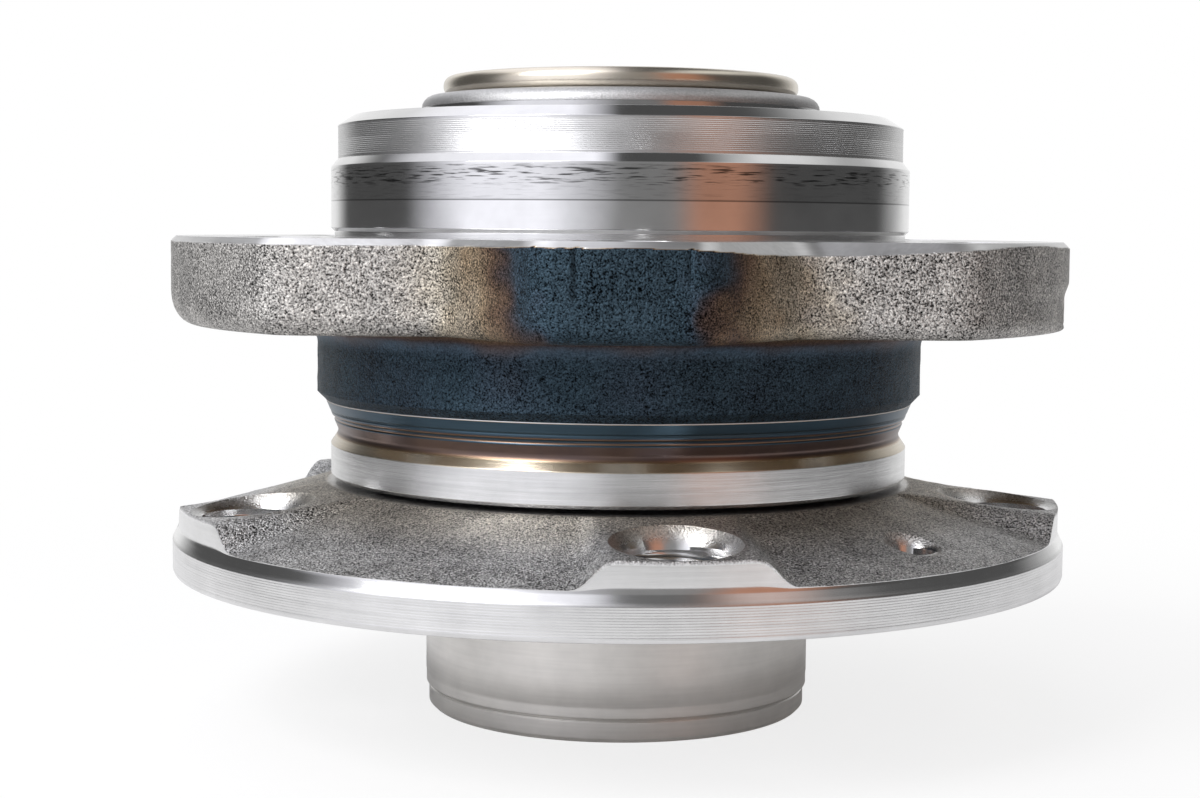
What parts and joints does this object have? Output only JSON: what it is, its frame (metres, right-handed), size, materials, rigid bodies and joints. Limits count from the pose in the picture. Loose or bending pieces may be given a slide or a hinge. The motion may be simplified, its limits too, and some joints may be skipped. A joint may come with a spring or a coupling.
{
  "type": "wheel hub bearing",
  "caption": "Flanged wheel hub bearing: a forged hub with wheel bolt bosses and a spigot turns on angular contact balls in an outer ring with a flat-sided knuckle flange.",
  "frame": {"origin": "on the bearing's axis, in the plane of the hub flange's face that the brake disc seats on", "axes": "+Z along the axis towards the knuckle, inboard; -Y towards one lug of the knuckle flange"},
  "size_m": [0.131, 0.131, 0.0929],
  "materials": {
    "forged_ring_steel": "shot-blasted forging with turned and ground seats",
    "forged_hub_steel": "shot-blasted forging with turned faces",
    "ground_ring_steel": "ground",
    "ball_steel": "lapped",
    "cage_polyamide": "moulded, glass filled",
    "seal_sheet_steel": "pressed sheet",
    "seal_rubber": "moulded",
    "encoder_rubber": "moulded, magnetised"
  },
  "bodies": {
    "knuckle_side": {"outer_ring": "forged_ring_steel", "outboard_seal_case": "seal_sheet_steel", "outboard_seal_lips": "seal_rubber", "inboard_seal_case": "seal_sheet_steel", "inboard_seal_lips": "seal_rubber"},
    "hub": {"wheel_hub": "forged_hub_steel", "inner_ring": "ground_ring_steel", "inboard_slinger": "seal_sheet_steel", "encoder_ring": "encoder_rubber"},
    "outboard_cage": {"outboard_cage": "cage_polyamide"},
    "inboard_cage": {"inboard_cage": "cage_polyamide"},
    "outboard_ball_01": {"outboard_ball_01": "ball_steel"},
    "outboard_ball_02": {"outboard_ball_02": "ball_steel"},
    "outboard_ball_03": {"outboard_ball_03": "ball_steel"},
    "outboard_ball_04": {"outboard_ball_04": "ball_steel"},
    "outboard_ball_05": {"outboard_ball_05": "ball_steel"},
    "outboard_ball_06": {"outboard_ball_06": "ball_steel"},
    "outboard_ball_07": {"outboard_ball_07": "ball_steel"},
    "outboard_ball_08": {"outboard_ball_08": "ball_steel"},
    "outboard_ball_09": {"outboard_ball_09": "ball_steel"},
    "outboard_ball_10": {"outboard_ball_10": "ball_steel"},
    "outboard_ball_11": {"outboard_ball_11": "ball_steel"},
    "outboard_ball_12": {"outboard_ball_12": "ball_steel"},
    "outboard_ball_13": {"outboard_ball_13": "ball_steel"},
    "outboard_ball_14": {"outboard_ball_14": "ball_steel"},
    "inboard_ball_01": {"inboard_ball_01": "ball_steel"},
    "inboard_ball_02": {"inboard_ball_02": "ball_steel"},
    "inboard_ball_03": {"inboard_ball_03": "ball_steel"},
    "inboard_ball_04": {"inboard_ball_04": "ball_steel"},
    "inboard_ball_05": {"inboard_ball_05": "ball_steel"},
    "inboard_ball_06": {"inboard_ball_06": "ball_steel"},
    "inboard_ball_07": {"inboard_ball_07": "ball_steel"},
    "inboard_ball_08": {"inboard_ball_08": "ball_steel"},
    "inboard_ball_09": {"inboard_ball_09": "ball_steel"},
    "inboard_ball_10": {"inboard_ball_10": "ball_steel"},
    "inboard_ball_11": {"inboard_ball_11": "ball_steel"},
    "inboard_ball_12": {"inboard_ball_12": "ball_steel"},
    "inboard_ball_13": {"inboard_ball_13": "ball_steel"},
    "inboard_ball_14": {"inboard_ball_14": "ball_steel"}
  },
  "joints": [
    {"name": "hub_spin", "type": "hinge", "parent": "knuckle_side", "child": "hub", "pos_m": [0, 0, 0.02], "axis": [0, 0, 1], "continuous": true},
    {"name": "outboard_cage_spin", "type": "hinge", "parent": "knuckle_side", "child": "outboard_cage", "pos_m": [0, 0, 0.02525], "axis": [0, 0, 1], "continuous": true},
    {"name": "inboard_cage_spin", "type": "hinge", "parent": "knuckle_side", "child": "inboard_cage", "pos_m": [0, 0, 0.05325], "axis": [0, 0, 1], "continuous": true},
    {"name": "outboard_ball_01_roll", "type": "hinge", "parent": "outboard_cage", "child": "outboard_ball_01", "pos_m": [0.03102, 0, 0.02525], "axis": [-0.6428, 0, 0.766], "continuous": true},
    {"name": "outboard_ball_02_roll", "type": "hinge", "parent": "outboard_cage", "child": "outboard_ball_02", "pos_m": [0.02795, 0.01346, 0.02525], "axis": [-0.5791, -0.2789, 0.766], "continuous": true},
    {"name": "outboard_ball_03_roll", "type": "hinge", "parent": "outboard_cage", "child": "outboard_ball_03", "pos_m": [0.01934, 0.02425, 0.02525], "axis": [-0.4008, -0.5026, 0.766], "continuous": true},
    {"name": "outboard_ball_04_roll", "type": "hinge", "parent": "outboard_cage", "child": "outboard_ball_04", "pos_m": [0.0069, 0.03024, 0.02525], "axis": [-0.143, -0.6267, 0.766], "continuous": true},
    {"name": "outboard_ball_05_roll", "type": "hinge", "parent": "outboard_cage", "child": "outboard_ball_05", "pos_m": [-0.0069, 0.03024, 0.02525], "axis": [0.143, -0.6267, 0.766], "continuous": true},
    {"name": "outboard_ball_06_roll", "type": "hinge", "parent": "outboard_cage", "child": "outboard_ball_06", "pos_m": [-0.01934, 0.02425, 0.02525], "axis": [0.4008, -0.5026, 0.766], "continuous": true},
    {"name": "outboard_ball_07_roll", "type": "hinge", "parent": "outboard_cage", "child": "outboard_ball_07", "pos_m": [-0.02795, 0.01346, 0.02525], "axis": [0.5791, -0.2789, 0.766], "continuous": true},
    {"name": "outboard_ball_08_roll", "type": "hinge", "parent": "outboard_cage", "child": "outboard_ball_08", "pos_m": [-0.03102, 0, 0.02525], "axis": [0.6428, 0, 0.766], "continuous": true},
    {"name": "outboard_ball_09_roll", "type": "hinge", "parent": "outboard_cage", "child": "outboard_ball_09", "pos_m": [-0.02795, -0.01346, 0.02525], "axis": [0.5791, 0.2789, 0.766], "continuous": true},
    {"name": "outboard_ball_10_roll", "type": "hinge", "parent": "outboard_cage", "child": "outboard_ball_10", "pos_m": [-0.01934, -0.02425, 0.02525], "axis": [0.4008, 0.5026, 0.766], "continuous": true},
    {"name": "outboard_ball_11_roll", "type": "hinge", "parent": "outboard_cage", "child": "outboard_ball_11", "pos_m": [-0.0069, -0.03024, 0.02525], "axis": [0.143, 0.6267, 0.766], "continuous": true},
    {"name": "outboard_ball_12_roll", "type": "hinge", "parent": "outboard_cage", "child": "outboard_ball_12", "pos_m": [0.0069, -0.03024, 0.02525], "axis": [-0.143, 0.6267, 0.766], "continuous": true},
    {"name": "outboard_ball_13_roll", "type": "hinge", "parent": "outboard_cage", "child": "outboard_ball_13", "pos_m": [0.01934, -0.02425, 0.02525], "axis": [-0.4008, 0.5026, 0.766], "continuous": true},
    {"name": "outboard_ball_14_roll", "type": "hinge", "parent": "outboard_cage", "child": "outboard_ball_14", "pos_m": [0.02795, -0.01346, 0.02525], "axis": [-0.5791, 0.2789, 0.766], "continuous": true},
    {"name": "inboard_ball_01_roll", "type": "hinge", "parent": "inboard_cage", "child": "inboard_ball_01", "pos_m": [0.03102, 0, 0.05325], "axis": [0.6428, 0, 0.766], "continuous": true},
    {"name": "inboard_ball_02_roll", "type": "hinge", "parent": "inboard_cage", "child": "inboard_ball_02", "pos_m": [0.02795, 0.01346, 0.05325], "axis": [0.5791, 0.2789, 0.766], "continuous": true},
    {"name": "inboard_ball_03_roll", "type": "hinge", "parent": "inboard_cage", "child": "inboard_ball_03", "pos_m": [0.01934, 0.02425, 0.05325], "axis": [0.4008, 0.5026, 0.766], "continuous": true},
    {"name": "inboard_ball_04_roll", "type": "hinge", "parent": "inboard_cage", "child": "inboard_ball_04", "pos_m": [0.0069, 0.03024, 0.05325], "axis": [0.143, 0.6267, 0.766], "continuous": true},
    {"name": "inboard_ball_05_roll", "type": "hinge", "parent": "inboard_cage", "child": "inboard_ball_05", "pos_m": [-0.0069, 0.03024, 0.05325], "axis": [-0.143, 0.6267, 0.766], "continuous": true},
    {"name": "inboard_ball_06_roll", "type": "hinge", "parent": "inboard_cage", "child": "inboard_ball_06", "pos_m": [-0.01934, 0.02425, 0.05325], "axis": [-0.4008, 0.5026, 0.766], "continuous": true},
    {"name": "inboard_ball_07_roll", "type": "hinge", "parent": "inboard_cage", "child": "inboard_ball_07", "pos_m": [-0.02795, 0.01346, 0.05325], "axis": [-0.5791, 0.2789, 0.766], "continuous": true},
    {"name": "inboard_ball_08_roll", "type": "hinge", "parent": "inboard_cage", "child": "inboard_ball_08", "pos_m": [-0.03102, 0, 0.05325], "axis": [-0.6428, 0, 0.766], "continuous": true},
    {"name": "inboard_ball_09_roll", "type": "hinge", "parent": "inboard_cage", "child": "inboard_ball_09", "pos_m": [-0.02795, -0.01346, 0.05325], "axis": [-0.5791, -0.2789, 0.766], "continuous": true},
    {"name": "inboard_ball_10_roll", "type": "hinge", "parent": "inboard_cage", "child": "inboard_ball_10", "pos_m": [-0.01934, -0.02425, 0.05325], "axis": [-0.4008, -0.5026, 0.766], "continuous": true},
    {"name": "inboard_ball_11_roll", "type": "hinge", "parent": "inboard_cage", "child": "inboard_ball_11", "pos_m": [-0.0069, -0.03024, 0.05325], "axis": [-0.143, -0.6267, 0.766], "continuous": true},
    {"name": "inboard_ball_12_roll", "type": "hinge", "parent": "inboard_cage", "child": "inboard_ball_12", "pos_m": [0.0069, -0.03024, 0.05325], "axis": [0.143, -0.6267, 0.766], "continuous": true},
    {"name": "inboard_ball_13_roll", "type": "hinge", "parent": "inboard_cage", "child": "inboard_ball_13", "pos_m": [0.01934, -0.02425, 0.05325], "axis": [0.4008, -0.5026, 0.766], "continuous": true},
    {"name": "inboard_ball_14_roll", "type": "hinge", "parent": "inboard_cage", "child": "inboard_ball_14", "pos_m": [0.02795, -0.01346, 0.05325], "axis": [0.5791, -0.2789, 0.766], "continuous": true}
  ],
  "couplings": [
    {"joint": "outboard_cage_spin", "follows": "hub_spin", "ratio": 0.42649},
    {"joint": "inboard_cage_spin", "follows": "hub_spin", "ratio": 0.42649},
    {"joint": "outboard_ball_01_roll", "follows": "hub_spin", "ratio": -2.5488},
    {"joint": "outboard_ball_02_roll", "follows": "hub_spin", "ratio": -2.5488},
    {"joint": "outboard_ball_03_roll", "follows": "hub_spin", "ratio": -2.5488},
    {"joint": "outboard_ball_04_roll", "follows": "hub_spin", "ratio": -2.5488},
    {"joint": "outboard_ball_05_roll", "follows": "hub_spin", "ratio": -2.5488},
    {"joint": "outboard_ball_06_roll", "follows": "hub_spin", "ratio": -2.5488},
    {"joint": "outboard_ball_07_roll", "follows": "hub_spin", "ratio": -2.5488},
    {"joint": "outboard_ball_08_roll", "follows": "hub_spin", "ratio": -2.5488},
    {"joint": "outboard_ball_09_roll", "follows": "hub_spin", "ratio": -2.5488},
    {"joint": "outboard_ball_10_roll", "follows": "hub_spin", "ratio": -2.5488},
    {"joint": "outboard_ball_11_roll", "follows": "hub_spin", "ratio": -2.5488},
    {"joint": "outboard_ball_12_roll", "follows": "hub_spin", "ratio": -2.5488},
    {"joint": "outboard_ball_13_roll", "follows": "hub_spin", "ratio": -2.5488},
    {"joint": "outboard_ball_14_roll", "follows": "hub_spin", "ratio": -2.5488},
    {"joint": "inboard_ball_01_roll", "follows": "hub_spin", "ratio": -2.5488},
    {"joint": "inboard_ball_02_roll", "follows": "hub_spin", "ratio": -2.5488},
    {"joint": "inboard_ball_03_roll", "follows": "hub_spin", "ratio": -2.5488},
    {"joint": "inboard_ball_04_roll", "follows": "hub_spin", "ratio": -2.5488},
    {"joint": "inboard_ball_05_roll", "follows": "hub_spin", "ratio": -2.5488},
    {"joint": "inboard_ball_06_roll", "follows": "hub_spin", "ratio": -2.5488},
    {"joint": "inboard_ball_07_roll", "follows": "hub_spin", "ratio": -2.5488},
    {"joint": "inboard_ball_08_roll", "follows": "hub_spin", "ratio": -2.5488},
    {"joint": "inboard_ball_09_roll", "follows": "hub_spin", "ratio": -2.5488},
    {"joint": "inboard_ball_10_roll", "follows": "hub_spin", "ratio": -2.5488},
    {"joint": "inboard_ball_11_roll", "follows": "hub_spin", "ratio": -2.5488},
    {"joint": "inboard_ball_12_roll", "follows": "hub_spin", "ratio": -2.5488},
    {"joint": "inboard_ball_13_roll", "follows": "hub_spin", "ratio": -2.5488},
    {"joint": "inboard_ball_14_roll", "follows": "hub_spin", "ratio": -2.5488}
  ]
}
